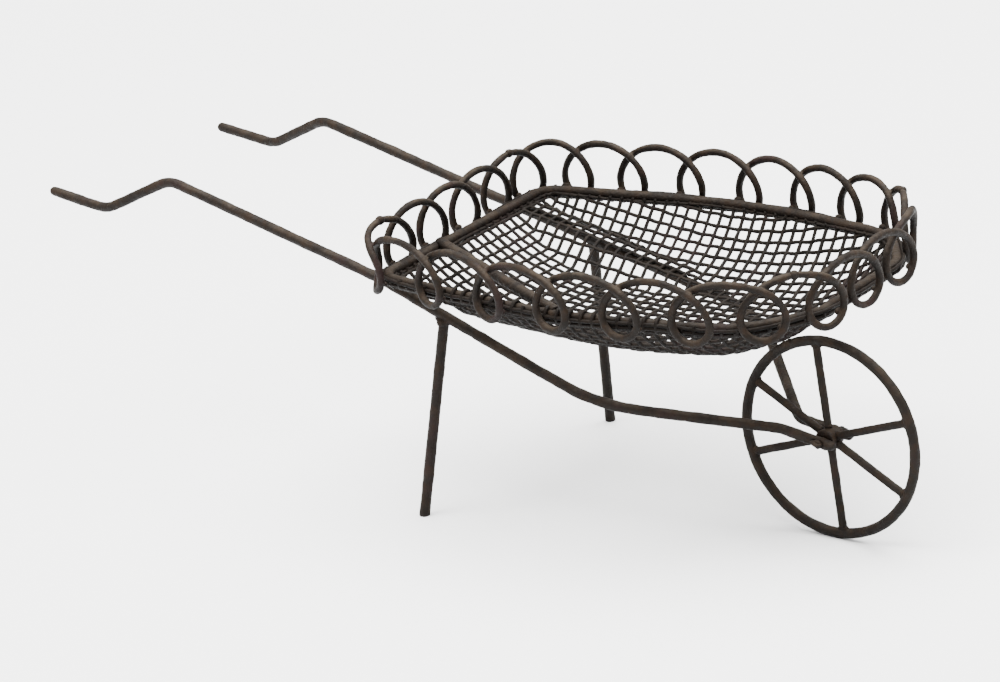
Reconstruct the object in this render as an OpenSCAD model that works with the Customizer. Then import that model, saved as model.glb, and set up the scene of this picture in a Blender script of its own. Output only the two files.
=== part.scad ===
// Small wrought-iron garden wheelbarrow planter: a bent-rod frame, a round-bar
// wheel and a wire-cloth basket with a looped wire border.
// +X runs forward to the wheel, +Z is up, and the right side is -Y.
// The feet and the wheel stand on z = 0. The origin is on the ground in the plane of the wheel,
// midway between the handle tips and the front of the wheel.

/* [Stock] */
// Diameter of the round bar of the rails, legs, basket rim and wheel rim
rod_d = 6.35; // [5:0.05:8]
// Diameter of the wire of the spokes and the looped border
wire_d = 4.76; // [3:0.02:5.5]
// Gap left between two pieces that are welded or laid together
seat_gap = 0.1; // [0.05:0.05:0.3]

/* [Rails and handles] */
// Distance from the handle tips forward to the axle
axle_x = 555; // [480:1:680]
// Half the distance between the handles
handle_half_w = 81.5; // [65:0.5:100]
// Half the distance between the rails under the basket
rail_half_w = 75; // [60:0.5:85]
// Height of the handle tips
tip_z = 162.6; // [140:0.2:185]
// Distance from the handle tips to the dip of the hand grip
dip_x = 50; // [40:1:60]
// How far the dip lies below the tips
dip_drop = 5.5; // [0:0.5:15]
// Distance from the handle tips to the crest
crest_x = 102; // [90:1:115]
// Height of the crest of the rails
crest_z = 182; // [165:0.5:200]
// Drop of the straight part of the rails, in mm for each mm forward
rail_drop = 0.228; // [0.18:0.002:0.25]
// Bend radius at the dip and the crest
grip_bend_r = 25; // [15:1:30]
// Distance back from the axle to where the rails start to close in
knee_back = 100; // [85:1:115]
// Bend radius where the rails close in
knee_bend_r = 80; // [50:1:90]
// How far the knee of the right rail lies behind the knee of the left one
right_knee_back = 15; // [0:1:20]
// Height of the corner of the right rail's knee
right_knee_z = 88; // [86:0.5:98]
// Bend radius of the right rail where the basket rests on it
rest_bend_r = 60; // [40:1:80]
// Distance back from the axle to the last bend, beside the wheel
nose_back = 29; // [24:0.5:34]
// How far the last bend lies above the axle
nose_rise = 4; // [0:0.5:6]
// Bend radius of the last bend
nose_bend_r = 12; // [8:1:14]
// How far the rails run on past the axle
rail_end = 10; // [7:0.5:14]

/* [Legs] */
// Distance from the handle tips to the weld of the legs
leg_x = 325; // [300:1:350]
// How far the feet stand back from the weld
leg_rake = 11; // [0:1:25]
// Half the distance between the feet
foot_half_w = 95; // [85:1:115]

/* [Wheel] */
// Outside diameter of the wheel
wheel_d = 127; // [110:1:145]
// Angle of the first pair of spokes from straight down, in degrees
spoke_a_turn = 7; // [0:0.5:20]
// Angle of the second pair of spokes from straight down, in degrees
spoke_b_turn = 62.5; // [50:0.5:75]
// Angle of the third pair of spokes from straight down, in degrees
spoke_c_turn = 109; // [105:0.5:130]
// Outside diameter of the hub
hub_d = 12.7; // [11:0.1:16]
// Length of the hub
hub_len = 12.7; // [10:0.1:16]
// Diameter of the axle pin
axle_d = 4; // [3:0.1:4.4]
// Clearance between the axle and the bore of the hub, on each side
axle_fit = 0.06; // [0.03:0.01:0.1]
// Clearance between each end of the hub and its rail
hub_side_gap = 0.4; // [0.3:0.1:1]
// Height of the welded head at each end of the axle
axle_head = 1.2; // [0.8:0.1:2]

/* [Basket] */
// Distance from the handle tips to the back bar of the basket
back_x = 276; // [260:1:290]
// Length of the basket rim
basket_len = 284; // [240:1:320]
// Half the width at the back corners
back_half_w = 91; // [86:1:105]
// Half the width at the widest place
side_half_w = 113; // [108:1:130]
// Distance from the back bar to the widest place
side_x = 140; // [120:1:160]
// Half the width at the front shoulders
shoulder_half_w = 92; // [80:1:100]
// Distance from the front edge back to the shoulders
shoulder_back = 29; // [24:1:40]
// Half the width of the front edge
front_half_w = 48; // [40:1:56]
// Bend radius of the back corners
back_bend_r = 14; // [10:1:18]
// Bend radius of the bowed sides
side_bend_r = 300; // [200:5:330]
// Bend radius of the shoulders
shoulder_bend_r = 50; // [30:1:55]
// Bend radius at the ends of the front edge
front_bend_r = 30; // [15:1:40]
// How far the basket is set over to the left on the rails
basket_shift = 8; // [0:0.5:10]
// How far the basket is turned to the left on the rails, in degrees
basket_turn = 4.6; // [0:0.1:5]
// Depth of the wire-cloth bowl below the rim
bowl_depth = 36; // [20:1:38]
// Distance from the back bar to the lowest place of the bowl
bowl_low_x = 180; // [160:1:190]
// How steep the sides of the bowl are: a higher value is a flatter bottom
side_steepness = 4; // [2:0.1:4.5]
// How steep the front of the bowl is
front_steepness = 2.9; // [2:0.1:3.2]
// Half the width of the strip where the cloth lies over a rail
lie_half_w = 9; // [8:0.5:12]
// Fall of the cloth to each side of a rail, in mm for each mm
lie_fall = 0.8; // [0.4:0.05:0.9]
// Thickness of the wire cloth
cloth_t = 1.6; // [1.2:0.1:2.5]
// Where the brace meets the back bar, to the right of its middle
brace_back_y = 28; // [15:1:45]
// Where the brace meets the right side, forward of the back bar
brace_side_x = 140; // [110:1:165]

/* [Looped border] */
// Height of the loops, outside
loop_height = 42; // [34:1:50]
// How far the loops hang below the middle of the rim
loop_hang = 9.2; // [6:0.2:12]
// Swing of the wire along the rim, as a share of the distance between loops
loop_swing = 0.5; // [0.42:0.01:0.56]
// How far the right length reaches back past the right rail
right_reach = 8; // [0:0.5:10]
// How far the left length reaches in past the left rail
left_reach = 0; // [0:0.5:2]
// Where the right length ends at the front, as a share of the way round the border
right_share = 0.424; // [0.41:0.002:0.44]
// Where the left length starts at the front, as a share of the way round the border
left_share = 0.604; // [0.59:0.002:0.62]
// How much closer together the loops of the right length get towards the front
right_ease = 0.09; // [0:0.01:0.15]
// How much closer together the loops of the left length are at its ends
left_crowd = 0.1; // [0:0.01:0.15]
// Number of loops along the back, between the rails
back_loops = 4; // [3:1:5]
// Number of loops along the right side
right_loops = 7; // [6:1:8]
// Number of loops along the left side and round its front corner
left_loops = 8; // [7:1:9]
// Number of loops across the front
front_loops = 4; // [3:1:5]

/* [Hidden] */
$fn = 48;

IRON = [0.20, 0.17, 0.155];
WORN = [0.26, 0.22, 0.20];
WIRE = [0.23, 0.20, 0.18];

rod_r = rod_d / 2;
wire_r = wire_d / 2;
wheel_r = wheel_d / 2;
rim_ring_r = wheel_r - rod_r;
axle_z = wheel_r;
total_len = axle_x + wheel_r;
fit_bore = 0.04;

// The corners of the left rail, from the handle tip to the end past the axle.
nose_half_w = hub_len / 2 + hub_side_gap + rod_r;
knee_x = axle_x - knee_back;
knee_z = crest_z - rail_drop * (knee_x - crest_x);
rail_corners = [
    [rod_r, handle_half_w, tip_z],
    [dip_x, handle_half_w, tip_z - dip_drop],
    [crest_x, rail_half_w, crest_z],
    [knee_x, rail_half_w, knee_z],
    [axle_x - nose_back, nose_half_w, axle_z + nose_rise],
    [axle_x, nose_half_w, axle_z],
    [axle_x + rail_end, nose_half_w, axle_z - nose_rise * rail_end / nose_back]];
rail_bends = [0, grip_bend_r, grip_bend_r, knee_bend_r, nose_bend_r, 0, 0];

function rail_z(x) = crest_z - rail_drop * (x - crest_x);
rail_pitch = atan(rail_drop);

// The right rail bends down where the basket rests on it, and its knee is lower.
right_knee_x = knee_x - right_knee_back;
right_drop = (rail_z(back_x) - right_knee_z) / (right_knee_x - back_x);
right_corners = [
    rail_corners[0],
    rail_corners[1],
    rail_corners[2],
    [back_x, rail_half_w, rail_z(back_x)],
    [right_knee_x, rail_half_w, right_knee_z],
    rail_corners[4],
    rail_corners[5],
    rail_corners[6]];
right_bends = [0, grip_bend_r, grip_bend_r, rest_bend_r, knee_bend_r, nose_bend_r, 0, 0];
function right_z(x) = rail_z(back_x) - right_drop * (x - back_x);

// The basket rests with its back bar on both rails, so it leans a little as it turns.
basket_lean = atan(rail_drop * tan(basket_turn));
rim_z = rail_z(back_x) + (rod_d + seat_gap) / cos(rail_pitch) - basket_shift * tan(basket_lean);

// ---- small vector helpers ----
function unit(v) = v / norm(v);
function cum(v, i = 0, s = 0) = i >= len(v) ? [s] : concat([s], cum(v, i + 1, s + v[i]));
function turn_between(a, p, b) = acos(max(-1, min(1, unit(p - a) * unit(b - p))));
function trim(a, p, b, r) = r == 0 ? 0 : r * tan(turn_between(a, p, b) / 2);

// ---- bent bar: one skin through rings of points ----
bar_sides = 16;
bend_step = 7.5;

module straight(a, b, d) {
    v = b - a;
    translate(a)
        rotate([0, acos(v.z / norm(v)), atan2(v.y, v.x)])
            cylinder(h = norm(v), d = d);
}

// The arc that rounds the corner p between a and b, as a list of points.
function bend_points(a, p, b, r) =
    let (u = unit(p - a),
         v = unit(b - p),
         turn = turn_between(a, p, b),
         w = unit(v - u * (u * v)),
         c = p - u * trim(a, p, b, r) + w * r,
         steps = max(2, ceil(turn / bend_step)))
    [for (k = [0 : steps])
        c - w * r * cos(turn * k / steps) + u * r * sin(turn * k / steps)];

// The middle line of a bar through corners c with bend radii r.
function bar_line(c, r, closed = false) =
    let (n = len(c))
    [for (i = [0 : n - 1])
        each r[i] == 0 ? [c[i]] : bend_points(c[(i + n - 1) % n], c[i], c[(i + 1) % n], r[i])];

// A ring of points round p, square to the run of the bar.
function bar_ring(p, run, r, sides) =
    let (side = unit(cross(run, [0, 0, 1])),
         down = cross(run, side))
    [for (k = [0 : sides - 1])
        p + r * (cos(360 * k / sides) * side + sin(360 * k / sides) * down)];

function bar_rings(line, r, closed = false) =
    let (n = len(line))
    [for (i = [0 : n - 1])
        let (before = closed ? line[(i + n - 1) % n] : line[max(i - 1, 0)],
             after = closed ? line[(i + 1) % n] : line[min(i + 1, n - 1)])
        bar_ring(line[i], unit(after - before), r, bar_sides)];

// A rounded end, as the rings that come before the first point of the line.
function tip_rings(p, run, r) = [for (w = [15, 35, 60])
    bar_ring(p - run * r * cos(w), run, r * sin(w), bar_sides)];

// A closed surface through rings that all have the same number of points.
module skin(rings, closed = false) {
    m = len(rings);
    n = len(rings[0]);
    polyhedron(
        points = [for (ring = rings) each ring],
        faces = concat(
            closed ? [] : [[for (k = [0 : n - 1]) k], [for (k = [n - 1 : -1 : 0]) (m - 1) * n + k]],
            [for (i = [0 : closed ? m - 1 : m - 2], k = [0 : n - 1], t = [0, 1])
                let (a = i * n + k,
                     b = i * n + (k + 1) % n,
                     c = (i + 1) % m * n + (k + 1) % n,
                     d = (i + 1) % m * n + k)
                t == 0 ? [a, d, c] : [a, c, b]]));
}

// ---- frame ----
module part_frame() {
    translate([-total_len / 2, 0, 0])
        children();
}

module rail(corners, bends) {
    line = bar_line(corners, bends);
    run = unit(corners[1] - corners[0]);
    color(IRON)
        difference() {
            skin(concat(tip_rings(line[0], run, rod_r), bar_rings(line, rod_r)));
            translate([axle_x, nose_half_w - rod_d, axle_z])
                rotate([-90, 0, 0])
                    cylinder(h = 2 * rod_d, d = axle_d + fit_bore);
        }
}

module left_rail() {
    part_frame() rail(rail_corners, rail_bends);
}

module right_rail() {
    part_frame() mirror([0, 1, 0]) rail(right_corners, right_bends);
}

// A leg runs from the middle of the rail to the ground; its top is cut to sit round the rail.
module leg(top_z, drop) {
    top = [leg_x, rail_half_w, top_z];
    foot = [leg_x - leg_rake, foot_half_w, 0];
    run = unit(foot - top);
    color(IRON)
        difference() {
            straight(top, foot + run * rod_d, rod_d);
            straight(top - [1, 0, -drop] * 4 * rod_d, top + [1, 0, -drop] * 4 * rod_d,
                rod_d + seat_gap);
            translate([foot.x, foot.y, -2 * rod_d])
                cube([6 * rod_d, 6 * rod_d, 4 * rod_d], center = true);
            translate(top + [0, 0, rod_d])
                cube([6 * rod_d, 6 * rod_d, 2 * rod_d], center = true);
        }
}

module left_leg() {
    part_frame() leg(rail_z(leg_x), rail_drop);
}

module right_leg() {
    part_frame() mirror([0, 1, 0]) leg(right_z(leg_x), right_drop);
}

// The axle pin goes through both rails and has a low welded head outside each.
module axle_pin() {
    grip = nose_half_w + rod_r + seat_gap;
    part_frame()
        color(WORN)
            translate([axle_x, 0, axle_z])
                rotate([90, 0, 0]) {
                    cylinder(h = 2 * grip, d = axle_d, center = true);
                    for (side = [0, 180])
                        rotate([side, 0, 0])
                            translate([0, 0, grip])
                                cylinder(h = axle_head, d1 = axle_d * 1.6, d2 = axle_d, $fn = 24);
                }
}

// ---- basket ----
module basket_frame() {
    part_frame()
        translate([back_x, basket_shift, rim_z])
            rotate([0, 0, basket_turn])
                rotate([basket_lean, 0, 0])
                    children();
}

// The rim in plan, from the right back corner round the front to the left back corner.
half_outline = [
    [0, back_half_w, back_bend_r],
    [side_x, side_half_w, side_bend_r],
    [basket_len - shoulder_back, shoulder_half_w, shoulder_bend_r],
    [basket_len, front_half_w, front_bend_r]];
outline = concat(
    [for (p = half_outline) [p.x, -p.y, p.z]],
    [for (i = [len(half_outline) - 1 : -1 : 0]) half_outline[i]]);

module rim_bar(r) {
    line = bar_line([for (p = outline) [p.x, p.y, 0]], [for (p = outline) p.z], closed = true);
    skin(bar_rings(line, r, closed = true), closed = true);
}

module basket_rim() {
    basket_frame()
        color(IRON)
            rim_bar(rod_r);
}

// A point list along the rim, set out by e from its middle line; arcs get a point each few degrees.
function corner_points(i, e) =
    let (n = len(outline),
         a = [outline[(i + n - 1) % n].x, outline[(i + n - 1) % n].y],
         p = [outline[i].x, outline[i].y],
         b = [outline[(i + 1) % n].x, outline[(i + 1) % n].y],
         u = unit(p - a),
         v = unit(b - p),
         turn = acos(u * v),
         r = outline[i].z,
         c = p - u * r * tan(turn / 2) + [-u.y, u.x] * r,
         steps = max(2, ceil(turn / 9)))
    [for (k = [0 : steps])
        let (w = atan2(u.y, u.x) - 90 + turn * k / steps)
        c + (r + e) * [cos(w), sin(w)]];

function rim_points(e) = [for (i = [0 : len(outline) - 1], p = corner_points(i, e)) p];

// The brace lies on the cloth and runs across the inside of the right back corner.
cloth_edge_z = -1;
brace_z = cloth_edge_z + 2 * seat_gap + rod_r;

module corner_brace() {
    side_y = lookup(brace_side_x, [for (p = rim_points(0)) if (p.y < -back_half_w / 2) [p.x, p.y]]);
    basket_frame()
        color(WORN)
            difference() {
                straight([0, -brace_back_y, brace_z], [brace_side_x, side_y, brace_z], rod_d);
                rim_bar(rod_r + seat_gap);
            }
}

// The bowl keeps the plan of the rim, hangs down between the rails and lies over them where they
// pass below it.
bowl_rings = 14;
bowl_points = 108;
bowl_middle = [bowl_low_x, 0];
function steepness(p) =
    let (ahead = max(0, p.x - bowl_low_x) / max(1, norm(p - bowl_middle)))
    side_steepness + (front_steepness - side_steepness) * ahead * ahead;

// Height at p of cloth that lies over the rail on one side (1 left, -1 right) and falls away from it.
function over_rail(p, side) =
    let (dy = side * rail_half_w - basket_shift,
         dx = (p.x - dy * sin(basket_turn)) / cos(basket_turn),
         rail_y = dy * cos(basket_turn) - dx * sin(basket_turn),
         drop = side > 0 ? rail_drop : right_drop,
         rail_top = rail_z(back_x) - drop * dx + rod_r / cos(atan(drop)))
    rail_top - rim_z - rail_y * sin(basket_lean) + cloth_t + 5 * seat_gap
        - lie_fall * max(0, abs(p.y - rail_y) - lie_half_w);

function cloth_z(p, s) = min(cloth_edge_z, max(
    cloth_edge_z - bowl_depth * (1 - pow(s, steepness(p))),
    over_rail(p, 1),
    over_rail(p, -1)));
function bowl_ring(edge, s, down) = [for (p = edge)
    let (q = bowl_middle + (p - bowl_middle) * s)
    [q.x, q.y, cloth_z(q, s) - down]];

// The edge of the cloth, inside the rim, as points at an even distance.
cloth_line = let (p = rim_points(-rod_r - seat_gap)) concat(p, [p[0]]);
cloth_s = cum([for (i = [0 : len(cloth_line) - 2]) norm(cloth_line[i + 1] - cloth_line[i])]);
cloth_edge = let (x = [for (i = [0 : len(cloth_s) - 1]) [cloth_s[i], cloth_line[i].x]],
                  y = [for (i = [0 : len(cloth_s) - 1]) [cloth_s[i], cloth_line[i].y]],
                  step = cloth_s[len(cloth_s) - 1] / bowl_points)
    [for (k = [0 : bowl_points - 1]) [lookup(k * step, x), lookup(k * step, y)]];

module mesh_basket() {
    n = bowl_points;
    shares = [for (k = [1 : bowl_rings]) pow(k / bowl_rings, 0.8)];
    top = [for (s = shares) each bowl_ring(cloth_edge, s, 0)];
    under = [for (s = shares) each bowl_ring(cloth_edge, s, cloth_t)];
    low = len(top);
    poles = [for (down = [0, cloth_t]) [bowl_middle.x, bowl_middle.y, cloth_edge_z - bowl_depth - down]];
    pole = 2 * low;
    basket_frame()
        color(WIRE)
            polyhedron(
                points = concat(top, under, poles),
                faces = concat(
                    [for (k = [0 : n - 1]) [pole, (k + 1) % n, k]],
                    [for (k = [0 : n - 1]) [pole + 1, low + k, low + (k + 1) % n]],
                    [for (j = [0 : bowl_rings - 2], k = [0 : n - 1], t = [0, 1])
                        let (a = j * n + k, b = j * n + (k + 1) % n)
                        t == 0 ? [a, b, b + n] : [a, b + n, a + n]],
                    [for (j = [0 : bowl_rings - 2], k = [0 : n - 1], t = [0, 1])
                        let (a = low + j * n + k, b = low + j * n + (k + 1) % n)
                        t == 0 ? [a, b + n, b] : [a, a + n, b + n]],
                    [for (k = [0 : n - 1], t = [0, 1])
                        let (a = (bowl_rings - 1) * n + k, b = (bowl_rings - 1) * n + (k + 1) % n)
                        t == 0 ? [a, b, low + b] : [a, low + b, low + a]]));
}

// ---- looped border ----
// The wire runs round the outside of the rim as a flattened coil. Along the rim it goes forward
// over the top of a loop and back under it, and it crosses itself just below each top.
loop_half_h = (loop_height - wire_d) / 2;
loop_mid_z = loop_half_h + wire_r - loop_hang;
coil_half_t = (wire_r + seat_gap) / 0.70;
coil_out = rod_r + seat_gap + wire_r + coil_half_t;

coil_edge = let (p = rim_points(coil_out)) concat([[-coil_out, 0]], p, [[-coil_out, 0]]);
coil_steps = [for (i = [0 : len(coil_edge) - 2]) norm(coil_edge[i + 1] - coil_edge[i])];
coil_s = cum(coil_steps);
coil_len = coil_s[len(coil_s) - 1];
x_at = [for (i = [0 : len(coil_s) - 1]) [coil_s[i], coil_edge[i].x]];
y_at = [for (i = [0 : len(coil_s) - 1]) [coil_s[i], coil_edge[i].y]];
function wrap(s) = s < 0 ? s + coil_len : s >= coil_len ? s - coil_len : s;
function coil_xy(s) = [lookup(wrap(s), x_at), lookup(wrap(s), y_at)];
function coil_run(s) = unit(coil_xy(s + 3) - coil_xy(s - 3));

// A border length is [start, end, loops, ease, crowd]. Share u of it lies this far along the rim.
function spread(b, u) =
    b[0] + (b[1] - b[0]) * (u + b[3] * u * (1 - u) - b[4] * sin(360 * u) / (2 * PI));
function along(b, t) =
    spread(b, t / 360 / b[2]) + (b[1] - b[0]) / b[2] * loop_swing * sin(t);

// The point of the wire at phase t (degrees) of border length b.
function loop_point(b, t) =
    let (s = along(b, t),
         p = coil_xy(s),
         run = coil_run(s),
         out = [run.y, -run.x] * coil_half_t * sin(t))
    [p.x + out.x, p.y + out.y, loop_mid_z + loop_half_h * cos(t)];

wire_sides = 6;
loop_rings = 18;
function ring_at(b, t) =
    let (p = loop_point(b, t),
         d = unit(loop_point(b, t + 1) - loop_point(b, t - 1)),
         run = coil_run(along(b, t)),
         side = unit(cross(cross(d, [run.y, -run.x, 0]), d)),
         other = cross(d, side))
    [for (k = [0 : wire_sides - 1])
        let (w = 360 * k / wire_sides)
        p + wire_r * (cos(w) * side + sin(w) * other)];

// One length of border: it starts and ends at the top of a loop.
module border_length(b) {
    clear = 0.6;
    pitch = (b[1] - b[0]) / b[2];
    first = clear / 2 / (pitch * (1 / 360 + loop_swing * PI / 180));
    rings = b[2] * loop_rings;
    ends = 360 * b[2] - 2 * first;
    basket_frame()
        color(WIRE)
            skin([for (i = [0 : rings]) ring_at(b, first + ends * i / rings)]);
}

// The border is made in four lengths. Two meet near each rail, and two at each front corner.
right_start = (rail_half_w + basket_shift) / cos(basket_turn) - right_reach;
left_end = coil_len - (rail_half_w - basket_shift) / cos(basket_turn) + left_reach;
right_end = coil_len * right_share;
left_start = coil_len * left_share;

module looped_border_back() {
    border_length([left_end - coil_len, right_start, back_loops, 0, 0]);
}

module looped_border_right() {
    border_length([right_start, right_end, right_loops, right_ease, 0]);
}

module looped_border_front() {
    border_length([right_end, left_start, front_loops, 0, 0]);
}

module looped_border_left() {
    border_length([left_start, left_end, left_loops, 0, left_crowd]);
}

// ---- wheel ----
module wheel_frame() {
    part_frame()
        translate([axle_x, 0, axle_z])
            rotate([90, 0, 0])
                children();
}

module wheel_rim() {
    wheel_frame()
        color(IRON)
            rotate_extrude($fn = 96)
                translate([rim_ring_r, 0])
                    circle(d = rod_d);
}

module hub() {
    wheel_frame()
        color(WORN)
            difference() {
                cylinder(h = hub_len, d = hub_d, center = true);
                cylinder(h = hub_len + 2, d = axle_d + 2 * axle_fit, center = true);
            }
}

// A spoke runs out from the hub; its foot is cut round to sit against the hub.
spoke_turns = [for (back = [0, 180], turn = [spoke_a_turn, spoke_b_turn, spoke_c_turn]) turn + back];

module spoke(i) {
    reach = rim_ring_r - rod_r - 1.5 * seat_gap;
    wheel_frame()
        color(WIRE)
            rotate([0, 0, -90 + spoke_turns[i]])
                difference() {
                    translate([hub_d / 4, 0, 0])
                        rotate([0, 90, 0])
                            cylinder(h = reach - hub_d / 4, d = wire_d);
                    cylinder(h = hub_len + 2, d = hub_d + 2 * seat_gap, center = true);
                }
}

left_rail();
right_rail();
left_leg();
right_leg();
axle_pin();
basket_rim();
corner_brace();
mesh_basket();
looped_border_back();
looped_border_right();
looped_border_front();
looped_border_left();
wheel_rim();
hub();
spoke(0);  // spoke_1
spoke(1);  // spoke_2
spoke(2);  // spoke_3
spoke(3);  // spoke_4
spoke(4);  // spoke_5
spoke(5);  // spoke_6
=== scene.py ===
"""Looks of a small wrought-iron garden wheelbarrow planter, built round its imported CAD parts.

Bars and border wires are forged from the CAD nodes, the basket is woven from wire, and the
joints get their weld beads. Lengths in the tables below are millimetres in the CAD's frame.
"""

import math
import random

import bmesh
import bpy
from mathutils import Euler, Matrix, Vector


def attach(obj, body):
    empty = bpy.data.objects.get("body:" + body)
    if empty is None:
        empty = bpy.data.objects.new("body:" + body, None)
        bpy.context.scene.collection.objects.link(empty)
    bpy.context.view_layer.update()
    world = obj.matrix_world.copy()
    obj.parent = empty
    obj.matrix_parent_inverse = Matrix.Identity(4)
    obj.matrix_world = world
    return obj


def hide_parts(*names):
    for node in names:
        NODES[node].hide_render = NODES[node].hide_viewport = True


bl_info = {
    "name": "Wheelbarrow planter",
    "version": (1, 0, 0),
    "blender": (4, 5, 0),
    "location": "3D View > Sidebar > Barrow",
    "description": "Builds the looks of a small iron wheelbarrow planter",
    "category": "Object",
}

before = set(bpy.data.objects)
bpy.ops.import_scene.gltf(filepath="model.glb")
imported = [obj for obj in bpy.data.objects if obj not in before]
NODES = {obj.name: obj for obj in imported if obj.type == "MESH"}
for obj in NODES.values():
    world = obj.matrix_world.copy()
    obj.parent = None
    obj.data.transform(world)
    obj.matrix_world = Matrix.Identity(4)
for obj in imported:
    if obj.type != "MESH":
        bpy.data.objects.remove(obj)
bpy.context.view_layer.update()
MM = 0.001

# Stock and places, as the CAD part has them.
BAR_R = 6.35 / 2
WIRE_R = 4.76 / 2
SEAT = 0.1
AXLE_X = 555
WHEEL_R = 63.5
HALF_LEN = (AXLE_X + WHEEL_R) / 2
RAIL_HALF_W = 75
BACK_X = 276
RIM_Z = 148.797
BASKET_SHIFT = 8
BASKET_TURN = math.radians(4.6)
BASKET_LEAN = math.radians(1.051)
BASKET_PLACE = (
    Matrix.Translation((BACK_X - HALF_LEN, BASKET_SHIFT, RIM_Z))
    @ Euler((0, 0, BASKET_TURN)).to_matrix().to_4x4()
    @ Euler((BASKET_LEAN, 0, 0)).to_matrix().to_4x4()
)
RIM_CORNERS = [(0, 91, 14), (140, 113, 300), (255, 92, 50), (284, 48, 30)]
BOWL_DEPTH = 36
BOWL_LOW_X = 180
SIDE_STEEPNESS = 4
FRONT_STEEPNESS = 2.9
CLOTH_EDGE_Z = -1.8
# Height of the rails where the basket rests on them, and their fall from there on each side.
REST_Z = 142.328
RIGHT_KNEE_X = 440
RIGHT_KNEE_Z = 88
RAIL_DROP = {1: 0.228, -1: (REST_Z - RIGHT_KNEE_Z) / (RIGHT_KNEE_X - BACK_X)}
# The cloth lies over a rail at this gap, across this half width, and falls away at this slope.
LIE_GAP = 1.3
LIE_HALF_W = 9
LIE_FALL = 0.8
BRACE = ((0, -28, 2.4), (140, -111.5, 2.4))
AXLE = Vector((AXLE_X - HALF_LEN, 0, WHEEL_R))
RING_R = WHEEL_R - BAR_R
SPOKE_ANGLES = [math.radians(w - 90) for w in (7, 62.5, 109, 187, 242.5, 289)]
LOOP_HALF_H = (42 - 2 * WIRE_R) / 2
LOOP_MID_Z = LOOP_HALF_H + WIRE_R - 9.2
COIL_HALF_T = (WIRE_R + SEAT) / 0.70
COIL_OUT = BAR_R + SEAT + WIRE_R + COIL_HALF_T
LOOP_SWING = 0.5


# ---- the rim's plan, and the coil of the border ----
def rim_plan(offset, step=9.0):
    """The rim in plan, set out by offset from its middle line, right side first."""
    corners = [(x, -y, r) for x, y, r in RIM_CORNERS]
    corners += [(x, y, r) for x, y, r in reversed(RIM_CORNERS)]
    count = len(corners)
    plan = []
    for i, (x, y, r) in enumerate(corners):
        p = Vector((x, y))
        u = (p - Vector(corners[i - 1][:2])).normalized()
        v = (Vector(corners[(i + 1) % count][:2]) - p).normalized()
        turn = math.acos(max(-1, min(1, u.dot(v))))
        centre = p - u * r * math.tan(turn / 2) + Vector((-u.y, u.x)) * r
        steps = max(2, math.ceil(math.degrees(turn) / step))
        start = math.atan2(u.y, u.x) - math.pi / 2
        for k in range(steps + 1):
            w = start + turn * k / steps
            plan.append(centre + (r + offset) * Vector((math.cos(w), math.sin(w))))
    return plan


def in_basket(x, y, z):
    """A point of the basket's own frame, in metres in the object's frame."""
    return BASKET_PLACE @ Vector((x, y, z)) * MM


class Loop:
    """A closed line in plan that gives the point and the run at a distance along it."""

    def __init__(self, points):
        self.points = points + [points[0]]
        self.at = [0.0]
        for a, b in zip(self.points, self.points[1:]):
            self.at.append(self.at[-1] + (b - a).length)
        self.length = self.at[-1]

    def point(self, s):
        s %= self.length
        for i in range(len(self.points) - 1):
            if self.at[i + 1] >= s:
                share = (s - self.at[i]) / max(self.at[i + 1] - self.at[i], 1e-9)
                return self.points[i].lerp(self.points[i + 1], share)
        return self.points[-1]

    def run(self, s):
        return (self.point(s + 3) - self.point(s - 3)).normalized()


COIL = Loop([Vector((-COIL_OUT, 0))] + rim_plan(COIL_OUT))
RIGHT_REACH = 8
RIGHT_RAIL_S = (RAIL_HALF_W + BASKET_SHIFT) / math.cos(BASKET_TURN) - RIGHT_REACH
LEFT_RAIL_S = COIL.length - (RAIL_HALF_W - BASKET_SHIFT) / math.cos(BASKET_TURN)
RIGHT_END_S = COIL.length * 0.424
LEFT_START_S = COIL.length * 0.604
# Each length of border: where it starts and ends, its loops, and how they ease and crowd.
BORDERS = {
    "back": (LEFT_RAIL_S - COIL.length, RIGHT_RAIL_S, 4, 0, 0),
    "right": (RIGHT_RAIL_S, RIGHT_END_S, 7, 0.09, 0),
    "front": (RIGHT_END_S, LEFT_START_S, 4, 0, 0),
    "left": (LEFT_START_S, LEFT_RAIL_S, 8, 0, 0.1),
}


def border_place(side, turns):
    """Distance round the coil after that many turns of a border wire."""
    start, end, loops, ease, crowd = BORDERS[side]
    u = turns / loops
    even = u + ease * u * (1 - u) - crowd * math.sin(2 * math.pi * u) / (2 * math.pi)
    swing = LOOP_SWING * math.sin(2 * math.pi * turns) / loops
    return start + (end - start) * (even + swing)


def coil_point(side, turns):
    """The middle of the border wire after that many turns of its coil."""
    w = 2 * math.pi * turns
    s = border_place(side, turns)
    p, run = COIL.point(s), COIL.run(s)
    p = p + Vector((run.y, -run.x)) * COIL_HALF_T * math.sin(w)
    return Vector((p.x, p.y, LOOP_MID_Z + LOOP_HALF_H * math.cos(w)))


def over_rail(x, y, side):
    """Height of cloth that lies over the rail on one side and falls away from it."""
    dy = side * RAIL_HALF_W - BASKET_SHIFT
    dx = (x - dy * math.sin(BASKET_TURN)) / math.cos(BASKET_TURN)
    rail_y = dy * math.cos(BASKET_TURN) - dx * math.sin(BASKET_TURN)
    drop = RAIL_DROP[side]
    fall = LIE_FALL * max(0.0, abs(y - rail_y) - LIE_HALF_W)
    top = REST_Z - RIM_Z - drop * dx + BAR_R * math.hypot(1, drop)
    return top - rail_y * math.sin(BASKET_LEAN) + LIE_GAP - fall


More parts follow.
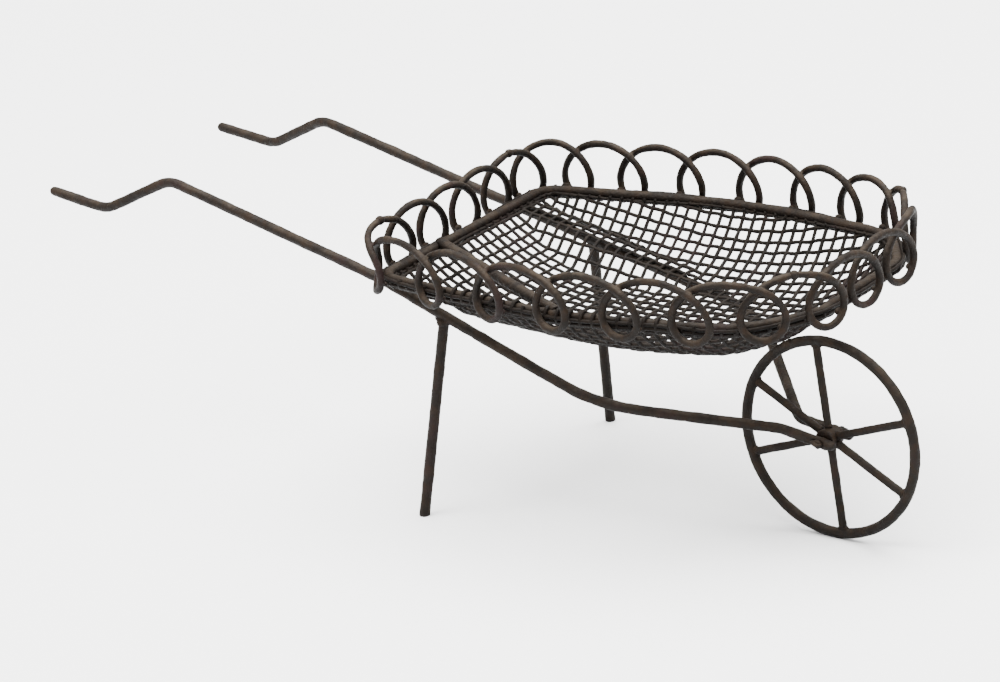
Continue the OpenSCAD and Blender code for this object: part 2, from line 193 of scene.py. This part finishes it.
def bowl_z(x, y, edge):
    """Height of the wire cloth at a place in the basket; edge is its share of the way out."""
    ahead = max(0.0, x - BOWL_LOW_X) / max(1.0, math.hypot(x - BOWL_LOW_X, y))
    steepness = SIDE_STEEPNESS + (FRONT_STEEPNESS - SIDE_STEEPNESS) * ahead**2
    hang = CLOTH_EDGE_Z - BOWL_DEPTH * (1 - edge**steepness)
    return min(CLOTH_EDGE_Z, max(hang, over_rail(x, y, 1), over_rail(x, y, -1)))


# ---- properties ----
class BarrowSizes(bpy.types.PropertyGroup):
    cloth_wire: bpy.props.FloatProperty(
        name="Cloth wire", description="Diameter of the wires of the basket",
        default=0.0024, unit="LENGTH")
    cloth_pitch: bpy.props.FloatProperty(
        name="Cloth pitch", description="Distance between the wires of the basket",
        default=0.0080, unit="LENGTH")
    cloth_crimp: bpy.props.FloatProperty(
        name="Cloth crimp", description="How far a wire bends over and under the others",
        default=0.00032, unit="LENGTH")
    forge_grain: bpy.props.FloatProperty(
        name="Forge grain", description="Size of the faces of the forged bars",
        default=0.0007, unit="LENGTH")
    hammer_depth: bpy.props.FloatProperty(
        name="Hammer depth", description="Depth of the uneven forging of the bars",
        default=0.0006, unit="LENGTH")
    paint_depth: bpy.props.FloatProperty(
        name="Paint depth", description="Height of the lumps in the old paint",
        default=0.00035, unit="LENGTH")


class BarrowColours(bpy.types.PropertyGroup):
    paint: bpy.props.FloatVectorProperty(
        name="Paint", description="Old dark paint", subtype="COLOR", size=4, min=0, max=1,
        default=(0.0078, 0.0055, 0.0040, 1))
    rust: bpy.props.FloatVectorProperty(
        name="Rust", description="Brown rust through the paint", subtype="COLOR", size=4,
        min=0, max=1, default=(0.021, 0.0125, 0.0072, 1))
    # Ochre goes on faces turned up: partly dry rust and dust, partly a painted highlight.
    ochre: bpy.props.FloatVectorProperty(
        name="Ochre", description="Dry rust and dust where the metal faces up",
        subtype="COLOR", size=4, min=0, max=1, default=(0.036, 0.0265, 0.0180, 1))
    plum: bpy.props.FloatVectorProperty(
        name="Plum", description="Purple-brown patches of red lead paint", subtype="COLOR",
        size=4, min=0, max=1, default=(0.019, 0.0088, 0.0092, 1))
    floor: bpy.props.FloatVectorProperty(
        name="Floor", description="Pale studio floor", subtype="COLOR", size=4, min=0, max=1,
        default=(0.96, 0.96, 0.955, 1))


# ---- finishes ----
def new_group(name, inputs, outputs):
    group = bpy.data.node_groups.new(name, "ShaderNodeTree")
    for label, kind, value in inputs:
        made = group.interface.new_socket(label, in_out="INPUT", socket_type=kind)
        made.default_value = value
    for label, kind in outputs:
        group.interface.new_socket(label, in_out="OUTPUT", socket_type=kind)
    return group, group.nodes.new("NodeGroupInput"), group.nodes.new("NodeGroupOutput")


def noise_node(tree, vector, scale, detail=4.0, rough=0.6):
    made = tree.nodes.new("ShaderNodeTexNoise")
    made.inputs["Scale"].default_value = scale
    made.inputs["Detail"].default_value = detail
    made.inputs["Roughness"].default_value = rough
    tree.links.new(vector, made.inputs["Vector"])
    return made.outputs["Fac"]


def ramp(tree, value, low, high):
    """A mask that rises from 0 at low to 1 at high."""
    made = tree.nodes.new("ShaderNodeMapRange")
    made.interpolation_type = "SMOOTHSTEP"
    made.inputs["From Min"].default_value = low
    made.inputs["From Max"].default_value = high
    tree.links.new(value, made.inputs["Value"])
    return made.outputs["Result"]


def times(tree, a, b):
    made = tree.nodes.new("ShaderNodeMath")
    made.operation = "MULTIPLY"
    for value, socket in ((a, made.inputs[0]), (b, made.inputs[1])):
        if isinstance(value, float):
            socket.default_value = value
        else:
            tree.links.new(value, socket)
    return made.outputs[0]


def mixed(tree, mask, below, above):
    made = tree.nodes.new("ShaderNodeMix")
    made.data_type = "RGBA"
    tree.links.new(mask, made.inputs["Factor"])
    tree.links.new(below, made.inputs["A"])
    tree.links.new(above, made.inputs["B"])
    return made.outputs["Result"]


def weathering_and_painted_light_group():
    """Patchy old paint: rust in small spots, plum in large patches, ochre on top faces (dry rust and
    dust, and in part a painted highlight); faces turned down are darkened as painted shade.
    """
    group, given, result = new_group(
        "weathering_and_painted_light",
        [("Paint", "NodeSocketColor", (0, 0, 0, 1)), ("Rust", "NodeSocketColor", (0, 0, 0, 1)),
         ("Plum", "NodeSocketColor", (0, 0, 0, 1)), ("Ochre", "NodeSocketColor", (0, 0, 0, 1)),
         ("Rust share", "NodeSocketFloat", 0.5), ("Plum share", "NodeSocketFloat", 0.5),
         ("Ochre share", "NodeSocketFloat", 0.5)],
        [("Colour", "NodeSocketColor"), ("Worn", "NodeSocketFloat")])
    where = group.nodes.new("ShaderNodeTexCoord")
    place = where.outputs["Object"]
    split = group.nodes.new("ShaderNodeSeparateXYZ")
    group.links.new(where.outputs["Normal"], split.inputs[0])
    rust = times(group, ramp(group, noise_node(group, place, 120, 5), 0.42, 0.68),
                 given.outputs["Rust share"])
    plum = times(group, ramp(group, noise_node(group, place, 26, 3), 0.56, 0.66),
                 given.outputs["Plum share"])
    # Ochre on faces turned up: partly dry rust and dust, partly a painted highlight.
    up = times(group, ramp(group, split.outputs["Z"], 0.15, 0.95),
               ramp(group, noise_node(group, place, 75, 5), 0.38, 0.62))
    ochre = times(group, up, given.outputs["Ochre share"])
    shade = mixed(group, rust, given.outputs["Paint"], given.outputs["Rust"])
    shade = mixed(group, plum, shade, given.outputs["Plum"])
    shade = mixed(group, ochre, shade, given.outputs["Ochre"])
    # Painted shade: faces turned down are darkened to 0.3 of their colour, blending in from normal Z
    # 0.35 down to -0.75.
    underside_painted_shade = group.nodes.new("ShaderNodeVectorMath")
    underside_painted_shade.operation = "SCALE"
    underside_painted_shade.inputs["Scale"].default_value = 0.3
    group.links.new(shade, underside_painted_shade.inputs[0])
    shade = mixed(group, ramp(group, split.outputs["Z"], -0.75, 0.35), underside_painted_shade.outputs[0], shade)
    group.links.new(shade, result.inputs["Colour"])
    group.links.new(rust, result.inputs["Worn"])
    return group


def crust_group():
    """Fine lumps of thick paint and rust, as a height and a roughness."""
    group, given, result = new_group(
        "crust", [("Fine scale", "NodeSocketFloat", 900.0)],
        [("Height", "NodeSocketFloat"), ("Dullness", "NodeSocketFloat")])
    place = group.nodes.new("ShaderNodeTexCoord").outputs["Object"]
    fine = group.nodes.new("ShaderNodeTexNoise")
    fine.inputs["Detail"].default_value = 6.0
    group.links.new(place, fine.inputs["Vector"])
    group.links.new(given.outputs["Fine scale"], fine.inputs["Scale"])
    group.links.new(fine.outputs["Fac"], result.inputs["Height"])
    dull = group.nodes.new("ShaderNodeMapRange")
    dull.inputs["From Min"].default_value = 0.3
    dull.inputs["From Max"].default_value = 0.7
    dull.inputs["To Min"].default_value = 0.5
    dull.inputs["To Max"].default_value = 0.78
    group.links.new(noise_node(group, place, 240), dull.inputs["Value"])
    group.links.new(dull.outputs["Result"], result.inputs["Dullness"])
    return group


def iron_finish(name, rust, plum, ochre, crust_scale, darken=1.0):
    """Old painted iron with its own shares of rust, plum patches and ochre."""
    found = bpy.data.materials.get(name)
    if found:
        return found
    colours = bpy.context.scene.barrow_colours
    finish = bpy.data.materials.new(name)
    finish.use_nodes = True
    tree = finish.node_tree
    skin = tree.nodes["Principled BSDF"]
    weather_and_light = tree.nodes.new("ShaderNodeGroup")
    weather_and_light.node_tree = bpy.data.node_groups.get("weathering_and_painted_light") or weathering_and_painted_light_group()
    for label, colour in (("Paint", colours.paint), ("Rust", colours.rust),
                          ("Plum", colours.plum), ("Ochre", colours.ochre)):
        weather_and_light.inputs[label].default_value = [c * darken for c in colour[:3]] + [1]
    weather_and_light.inputs["Rust share"].default_value = rust
    weather_and_light.inputs["Plum share"].default_value = plum
    weather_and_light.inputs["Ochre share"].default_value = ochre
    crust = tree.nodes.new("ShaderNodeGroup")
    crust.node_tree = bpy.data.node_groups.get("crust") or crust_group()
    crust.inputs["Fine scale"].default_value = crust_scale
    bump = tree.nodes.new("ShaderNodeBump")
    bump.inputs["Strength"].default_value = 0.85
    bump.inputs["Distance"].default_value = 0.0006
    tree.links.new(crust.outputs["Height"], bump.inputs["Height"])
    tree.links.new(bump.outputs["Normal"], skin.inputs["Normal"])
    tree.links.new(weather_and_light.outputs["Colour"], skin.inputs["Base Color"])
    tree.links.new(crust.outputs["Dullness"], skin.inputs["Roughness"])
    skin.inputs["Specular IOR Level"].default_value = 0.1
    return finish


FINISHES = {
    "bar": ("bar_iron", 0.55, 0.30, 0.50, 800.0),
    "border": ("border_iron", 0.65, 0.45, 0.75, 900.0),
    "cloth": ("cloth_iron", 0.40, 0.45, 0.25, 1200.0, 0.62),
    "wheel": ("wheel_iron", 0.60, 0.25, 0.45, 900.0, 0.9),
    "weld": ("weld_iron", 0.80, 0.30, 0.45, 1100.0),
}


def finish_of(kind):
    return iron_finish(*FINISHES[kind])


# ---- making pieces ----
def link(name, data, body, kind):
    piece = bpy.data.objects.new(name, data)
    bpy.context.scene.collection.objects.link(piece)
    data.materials.append(finish_of(kind))
    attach(piece, body)
    return piece


def relief(name, scale):
    made = bpy.data.textures.get(name)
    if made is None:
        made = bpy.data.textures.new(name, "CLOUDS")
        made.noise_scale = scale
        made.noise_depth = 2
    return made


def work_surface(piece, grain, hammer, paint, smooth=6):
    """Evens the faces of a piece, rounds it and gives it forging marks and lumps of paint."""
    even = piece.modifiers.new("even", "REMESH")
    even.mode = "VOXEL"
    even.voxel_size = grain
    even.use_smooth_shade = True
    rounded = piece.modifiers.new("rounded", "SMOOTH")
    rounded.factor = 0.5
    rounded.iterations = smooth
    for name, scale, depth in (("hammer_marks", 0.011, hammer), ("paint_lumps", 0.0028, paint)):
        marks = piece.modifiers.new(name, "DISPLACE")
        marks.texture = relief(name, scale)
        marks.texture_coords = "LOCAL"
        marks.strength = depth
        marks.mid_level = 0.5


def forge(name, node, body, kind, grain=None, hammer=None, paint=None, thicker=0.0,
          levels=1, smooth=6):
    """A bar or wire forged from a CAD node: its copy is merged, rounded and worked.

    The smoothing draws a thin bar in, and thicker makes that up, so it keeps its CAD diameter.
    """
    sizes = bpy.context.scene.barrow_sizes
    mesh = bpy.data.meshes.new(name)
    shape = bmesh.new()
    shape.from_mesh(NODES[node].data)
    bmesh.ops.remove_doubles(shape, verts=shape.verts, dist=2e-6)
    bmesh.ops.join_triangles(
        shape, faces=shape.faces, angle_face_threshold=math.radians(25),
        angle_shape_threshold=math.radians(60))
    shape.normal_update()
    for v in shape.verts:
        v.co += v.normal * thicker
    shape.to_mesh(mesh)
    shape.free()
    piece = link(name, mesh, body, kind)
    if levels:
        round_off = piece.modifiers.new("round_off", "SUBSURF")
        round_off.levels = round_off.render_levels = levels
    work_surface(piece, grain or sizes.forge_grain,
                 sizes.hammer_depth if hammer is None else hammer,
                 sizes.paint_depth if paint is None else paint, smooth)
    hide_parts(node)
    return piece


def wires(name, lines, radius, body, kind, sides=1):
    """Round wires along lines of points in metres; each point may have its own thickness."""
    data = bpy.data.curves.new(name, "CURVE")
    data.dimensions = "3D"
    data.bevel_depth = radius
    data.bevel_resolution = sides
    data.use_fill_caps = True
    for points, closed in lines:
        spline = data.splines.new("POLY")
        spline.points.add(len(points) - 1)
        for made, (p, thick) in zip(spline.points, points):
            made.co = (*p, 1)
            made.radius = thick
        spline.use_cyclic_u = closed
        spline.use_smooth = True
    return link(name, data, body, kind)


def beads(name, places, body, kind, grain, hammer=0.0008, paint=0.0006):
    """Weld beads: stretched lumps at (point, size, direction), run together."""
    mesh = bpy.data.meshes.new(name)
    shape = bmesh.new()
    for point, size, along in places:
        turn = Vector(along).to_track_quat("X", "Z").to_matrix().to_4x4()
        place = (Matrix.Translation(Vector(point) * MM) @ turn
                 @ Matrix.Diagonal((size[0] * MM, size[1] * MM, size[2] * MM, 1)))
        bmesh.ops.create_icosphere(shape, subdivisions=2, radius=1.0, matrix=place)
    shape.to_mesh(mesh)
    shape.free()
    piece = link(name, mesh, body, kind)
    work_surface(piece, grain, hammer, paint, smooth=4)
    return piece


# ---- frame ----
class BARROW_OT_rails(bpy.types.Operator):
    """Forge the two rails with their handles"""

    bl_idname = "barrow.rails"
    bl_label = "Rails"

    def execute(self, context):
        for side in ("left", "right"):
            forge(f"rail_{side}", f"{side}_rail", "frame", "bar", thicker=0.00022)
        return {"FINISHED"}


class BARROW_OT_legs(bpy.types.Operator):
    """Forge the two legs"""

    bl_idname = "barrow.legs"
    bl_label = "Legs"

    def execute(self, context):
        for side in ("left", "right"):
            forge(f"leg_{side}", f"{side}_leg", "frame", "bar", thicker=0.00031,
                  levels=0, smooth=3)
        return {"FINISHED"}


class BARROW_OT_axle(bpy.types.Operator):
    """Forge the axle pin"""

    bl_idname = "barrow.axle"
    bl_label = "Axle"

    def execute(self, context):
        forge("axle", "axle_pin", "frame", "weld", grain=0.0004, hammer=0.0,
              paint=0.00015, levels=0, smooth=1)
        return {"FINISHED"}


class BARROW_OT_rim(bpy.types.Operator):
    """Forge the rim of the basket and its corner brace"""

    bl_idname = "barrow.rim"
    bl_label = "Basket rim"

    def execute(self, context):
        forge("rim_bar", "basket_rim", "frame", "bar", thicker=0.00022)
        forge("brace_bar", "corner_brace", "frame", "bar", thicker=0.00031, levels=0,
              smooth=3)
        return {"FINISHED"}


class BARROW_OT_border(bpy.types.Operator):
    """Bend the looped wire border in its four lengths"""

    bl_idname = "barrow.border"
    bl_label = "Looped border"

    def execute(self, context):
        for side in BORDERS:
            forge(f"border_{side}", f"looped_border_{side}", "frame", "border",
                  grain=0.0006, hammer=0.0007, thicker=0.00055, levels=2, smooth=5)
        return {"FINISHED"}


def inside_span(plan, value, axis):
    """Where a straight line at value on one axis enters and leaves the plan on the other."""
    other = 1 - axis
    hits = []
    for a, b in zip(plan, plan[1:] + plan[:1]):
        if (a[axis] - value) * (b[axis] - value) < 0:
            share = (value - a[axis]) / (b[axis] - a[axis])
            hits.append((a[other] + (b[other] - a[other]) * share, (b - a).normalized()))
    return sorted(hits, key=lambda hit: hit[0])


def cloth_lines(plan, axis, pitch):
    """Places of the wires on one axis, at an even distance along the cloth's own slope."""
    step = 0.5
    if axis == 0:
        places = [-2 + step * i for i in range(600)]
        section = [(x, 0.0) for x in places]
    else:
        places = [-115 + step * i for i in range(461)]
        section = [(float(BOWL_LOW_X), y) for y in places]
    heights = [bowl_z(x, y, edge_share(plan, x, y)) for x, y in section]
    run, lines = 0.0, []
    for i in range(1, len(places)):
        before = run
        run += math.hypot(step, min(abs(heights[i] - heights[i - 1]), 1.2 * step))
        if int(run / pitch) > int(before / pitch):
            lines.append(places[i])
    return lines


def edge_share(plan, x, y):
    """Share of the way from the lowest place of the bowl out to its edge."""
    q = Vector((x - BOWL_LOW_X, y))
    if q.length < 1e-6:
        return 0.0
    d = q.normalized()
    best = 1e9
    for a, b in zip(plan, plan[1:] + plan[:1]):
        a2, e = a - Vector((BOWL_LOW_X, 0)), b - a
        cross = d.x * e.y - d.y * e.x
        if abs(cross) < 1e-9:
            continue
        far = (a2.x * e.y - a2.y * e.x) / cross
        along = (a2.x * d.y - a2.y * d.x) / cross
        if far > 0 and -1e-6 <= along <= 1 + 1e-6:
            best = min(best, far)
    return min(1.0, q.length / best)


class BARROW_OT_cloth(bpy.types.Operator):
    """Weave the wire-cloth basket and wrap its edge round the rim"""

    bl_idname = "barrow.cloth"
    bl_label = "Wire cloth"

    def execute(self, context):
        sizes = context.scene.barrow_sizes
        pitch = sizes.cloth_pitch / MM
        crimp = sizes.cloth_crimp / MM
        wire_r = sizes.cloth_wire / MM / 2
        rand = random.Random(41)
        middle = rim_plan(0.0, 4.0)
        edge = rim_plan(-BAR_R - SEAT, 4.0)
        wrap_r = BAR_R + wire_r * 0.9
        named = {0: "cloth_crosswise", 1: "cloth_lengthwise"}
        clots = []
        for axis, name in named.items():
            lines = []
            for k, value in enumerate(cloth_lines(edge, axis, pitch)):
                hits = inside_span(edge, value, axis)
                rims = inside_span(middle, value, axis)
                if len(hits) < 2 or len(rims) < 2:
                    continue
                start, end = hits[0][0], hits[-1][0]
                steps = max(4, round((end - start) / (pitch / 4)))
                slow = [rand.uniform(-0.3, 0.3) for _ in range(steps // 8 + 3)]
                points = []
                for i in range(steps + 1):
                    t = start + (end - start) * i / steps
                    u = i / 8
                    a, b = slow[int(u)], slow[int(u) + 1]
                    share = u - int(u)
                    drift = a + (b - a) * share * share * (3 - 2 * share)
                    x, y = (value, t) if axis == 0 else (t, value)
                    z = bowl_z(x, y, edge_share(edge, x, y))
                    over = math.sin(math.pi * (t / pitch)) * (1 if (k + axis) % 2 else -1)
                    fade = min(1.0, 4 * i / steps, 4 * (steps - i) / steps)
                    x, y = (x + drift * fade, y) if axis == 0 else (x, y + drift * fade)
                    points.append((in_basket(x, y, z + crimp * over),
                                   1.0 + rand.uniform(-0.06, 0.10)))
                for last, (hit, run) in ((False, rims[0]), (True, rims[-1])):
                    out = Vector((run.y, -run.x))
                    lean = abs(out[1 - axis])
                    if lean < 0.35:
                        continue
                    at = (Vector((value, hit)) if axis == 0 else Vector((hit, value)))
                    turn_to = rand.uniform(-15, 35)
                    if out.y < -0.7 and 50 < at.x < 215:
                        turn_to = rand.uniform(60, 170)
                    hoop = []
                    for w in range(-170, int(turn_to), 20):
                        c, s = math.cos(math.radians(w)), math.sin(math.radians(w))
                        p = at + out * wrap_r * c
                        hoop.append((in_basket(p.x, p.y, wrap_r * s),
                                     1.0 + rand.uniform(-0.05, 0.15)))
                    points = points + hoop if last else hoop[::-1] + points
                    if rand.random() < 0.5:
                        p = at - out * rand.uniform(3.4, 5.0)
                        clots.append(((p.x, p.y, rand.uniform(-3.2, -1.6)), out))
                lines.append((points, False))
            piece = wires(name, lines, wire_r * MM, "frame", "cloth")
            if axis == 0:
                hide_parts("mesh_basket")
        hems = []
        for angle, wander in ((-150, 9), (-88, 12), (-30, 14), (8, 10)):
            line = Loop(rim_plan(0.0, 4.0))
            points = []
            count = int(line.length / 3)
            for i in range(count):
                s = line.length * i / count
                run, p = line.run(s), line.point(s)
                out = Vector((run.y, -run.x))
                w = math.radians(angle + wander * math.sin(s / 17 + angle)
                                 + rand.uniform(-3, 3))
                p = p + out * wrap_r * math.cos(w)
                points.append((in_basket(p.x, p.y, wrap_r * math.sin(w)), 1.0))
            hems.append((points, True))
        wires("cloth_hem", hems, wire_r * MM, "frame", "cloth")
        beads("cloth_clots",
              [(tuple(BASKET_PLACE @ Vector(p)), (rand.uniform(1.2, 2.6), 0.9, 0.8),
                (-out.y, out.x, 0)) for p, out in clots],
              "frame", "cloth", 0.0005, 0.0004, 0.0004)
        return {"FINISHED"}


# ---- wheel ----
class BARROW_OT_wheel(bpy.types.Operator):
    """Forge the wheel: rim, hub and six spokes"""

    bl_idname = "barrow.wheel"
    bl_label = "Wheel"

    def execute(self, context):
        forge("wheel_ring", "wheel_rim", "wheel", "wheel", thicker=0.00006, levels=0)
        forge("wheel_hub", "hub", "wheel", "weld", grain=0.0004, hammer=0.0,
              paint=0.0001, levels=0, smooth=1)
        for k in range(6):
            forge(f"wheel_spoke_{k + 1}", f"spoke_{k + 1}", "wheel", "wheel",
                  grain=0.0006, hammer=0.0004, thicker=0.00025, levels=0, smooth=3)
        return {"FINISHED"}


# ---- welds ----
class BARROW_OT_welds(bpy.types.Operator):
    """Add the weld beads of the frame, the border and the wheel"""

    bl_idname = "barrow.welds"
    bl_label = "Welds"

    def execute(self, context):
        rand = random.Random(7)
        spots = []
        leg_x = 15.2
        crossings = ((1, 143.56, 127.2, (-38.64, 150.03)), (-1, 140.8, 122.0, (-26.57, 147.27)))
        for sign, rail_z, leg_z, bar in crossings:
            y = sign * RAIL_HALF_W
            spots.append(((leg_x, y + sign, leg_z), (4.4, 4.4, 3.0), (1, 0, -0.2)))
            spots.append(((leg_x - 2.6, y + sign * 0.8, leg_z + 2.2), (3.2, 2.6, 2.2), (1, 0, -0.2)))
            spots.append(((leg_x + 3.4, y + sign * 0.8, leg_z + 1.0), (3.2, 2.6, 2.2), (1, 0, -0.2)))
            x, bar_z = bar
            middle_z = (rail_z + bar_z) / 2
            for back in (-3.2, 3.2):
                spots.append(((x + back, y, middle_z - back * 0.2), (4.2, 2.4, 2.6), (0, 1, 0)))
            spots.append(((AXLE.x, sign * 13.6, AXLE.z), (3.6, 3.4, 1.2), (1, 0, 0)))
            spots.append(((AXLE.x - 2.2, sign * 13.0, AXLE.z + 0.8), (3.4, 2.6, 1.3), (1, 0, 0)))
        for x, y, z in BRACE:
            p = BASKET_PLACE @ Vector((x + (2.5 if x == 0 else -1.5), y + 1.8, z - 1.2))
            spots.append((tuple(p), (4.2, 3.2, 2.8), (1, -0.4, 0)))
        beads("welds_frame", spots, "frame", "weld", 0.0005)
        spots = []
        for side, (_, _, loops, _, _) in BORDERS.items():
            for k in range(loops):
                for turns in (k + 0.36, k + 0.64):
                    p = coil_point(side, turns)
                    run = COIL.run(border_place(side, turns))
                    inward = Vector((-run.y, run.x, 0))
                    q = BASKET_PLACE @ (p + inward * (COIL_HALF_T * 0.8 if turns % 1 < 0.5
                                                      else 2.2))
                    size = rand.uniform(1.7, 2.5)
                    spots.append((tuple(q), (size * 1.3, size, size), (run.x, run.y, 0)))
            run = COIL.run(border_place(side, loops))
            q = BASKET_PLACE @ coil_point(side, loops)
            spots.append((tuple(q), (3.4, WIRE_R + 0.7, WIRE_R + 0.7), (run.x, run.y, 0)))
        beads("welds_border", spots, "frame", "weld", 0.0006, 0.0006, 0.0005)
        spots = []
        for k, angle in enumerate(SPOKE_ANGLES):
            c, s = math.cos(angle), math.sin(angle)
            tangent = (-s, 0, c)
            for r, size in ((RING_R - BAR_R + 0.2, (4.2, 2.4, 2.3)), (7.4, (3.2, 2.6, 2.6))):
                spots.append(((AXLE.x + r * c, 0, AXLE.z + r * s), size, tangent))
        beads("welds_wheel", spots, "wheel", "weld", 0.0005, 0.0006, 0.0004)
        return {"FINISHED"}


# ---- stage ----
class BARROW_OT_stage(bpy.types.Operator):
    """Set the pale floor, the soft lights and the camera"""

    bl_idname = "barrow.stage"
    bl_label = "Stage"

    def execute(self, context):
        scene = context.scene
        mesh = bpy.data.meshes.new("studio_floor")
        shape = bmesh.new()
        bmesh.ops.create_grid(shape, x_segments=1, y_segments=1, size=14.0)
        shape.to_mesh(mesh)
        shape.free()
        floor = bpy.data.objects.new("studio_floor", mesh)
        scene.collection.objects.link(floor)
        pale = bpy.data.materials.new("studio_pale")
        pale.use_nodes = True
        skin = pale.node_tree.nodes["Principled BSDF"]
        skin.inputs["Base Color"].default_value = scene.barrow_colours.floor
        skin.inputs["Roughness"].default_value = 0.9
        skin.inputs["Specular IOR Level"].default_value = 0.1
        mesh.materials.append(pale)
        world = bpy.data.worlds.new("studio_sky")
        world.use_nodes = True
        sky = world.node_tree.nodes["Background"]
        sky.inputs["Color"].default_value = (1, 1, 1, 1)
        sky.inputs["Strength"].default_value = 0.95
        scene.world = world
        centre = Vector((0, 0, 0.08))
        for name, place, size, power in (
                ("sky_light", (0.0, 0.3, 5.0), 6.0, 1500), ("key_light", (-0.9, -1.6, 2.6), 1.6, 55),
                ("rim_light", (0.6, 2.0, 1.8), 1.6, 20)):
            data = bpy.data.lights.new(name, "AREA")
            data.size = size
            data.energy = power
            light = bpy.data.objects.new(name, data)
            light.location = place
            light.rotation_mode = "QUATERNION"
            light.rotation_quaternion = (Vector(place) - centre).to_track_quat("Z", "Y")
            scene.collection.objects.link(light)
        azimuth, elevation, roll = (math.radians(v) for v in (40.01, 19.07, -4.04))
        back = Vector((math.sin(azimuth) * math.cos(elevation),
                       -math.cos(azimuth) * math.cos(elevation), math.sin(elevation)))
        right = Vector((0, 0, 1)).cross(back).normalized()
        up = back.cross(right)
        tilted_right = right * math.cos(roll) + up * math.sin(roll)
        tilted_up = up * math.cos(roll) - right * math.sin(roll)
        lens = bpy.data.cameras.new("camera")
        lens.sensor_width = 36
        lens.lens = 149.1
        lens.clip_start, lens.clip_end = 0.1, 60
        camera = bpy.data.objects.new("camera", lens)
        scene.collection.objects.link(camera)
        facing = Matrix((tilted_right, tilted_up, back)).transposed().to_4x4()
        target = Vector((-0.00445, 0.0, 0.083))
        camera.matrix_world = Matrix.Translation(target + back * 2.6087) @ facing
        scene.camera = camera
        return {"FINISHED"}


OPERATORS = (
    BARROW_OT_stage, BARROW_OT_rails, BARROW_OT_legs, BARROW_OT_axle, BARROW_OT_rim,
    BARROW_OT_border, BARROW_OT_cloth, BARROW_OT_wheel, BARROW_OT_welds,
)


class BARROW_PT_panel(bpy.types.Panel):
    """Lists the pieces of the barrow"""

    bl_label = "Barrow"
    bl_idname = "BARROW_PT_panel"
    bl_space_type = "VIEW_3D"
    bl_region_type = "UI"
    bl_category = "Barrow"

    def draw(self, context):
        for group in (context.scene.barrow_sizes, context.scene.barrow_colours):
            for name in group.__annotations__:
                self.layout.prop(group, name)
        for made in OPERATORS:
            self.layout.operator(made.bl_idname)


CLASSES = (BarrowSizes, BarrowColours, *OPERATORS, BARROW_PT_panel)


def register():
    for made in CLASSES:
        bpy.utils.register_class(made)
    bpy.types.Scene.barrow_sizes = bpy.props.PointerProperty(type=BarrowSizes)
    bpy.types.Scene.barrow_colours = bpy.props.PointerProperty(type=BarrowColours)


def unregister():
    del bpy.types.Scene.barrow_colours
    del bpy.types.Scene.barrow_sizes
    for made in reversed(CLASSES):
        bpy.utils.unregister_class(made)


def main():
    register()
    for made in OPERATORS:
        group, name = made.bl_idname.split(".")
        getattr(getattr(bpy.ops, group), name)()


if __name__ == "__main__":
    main()
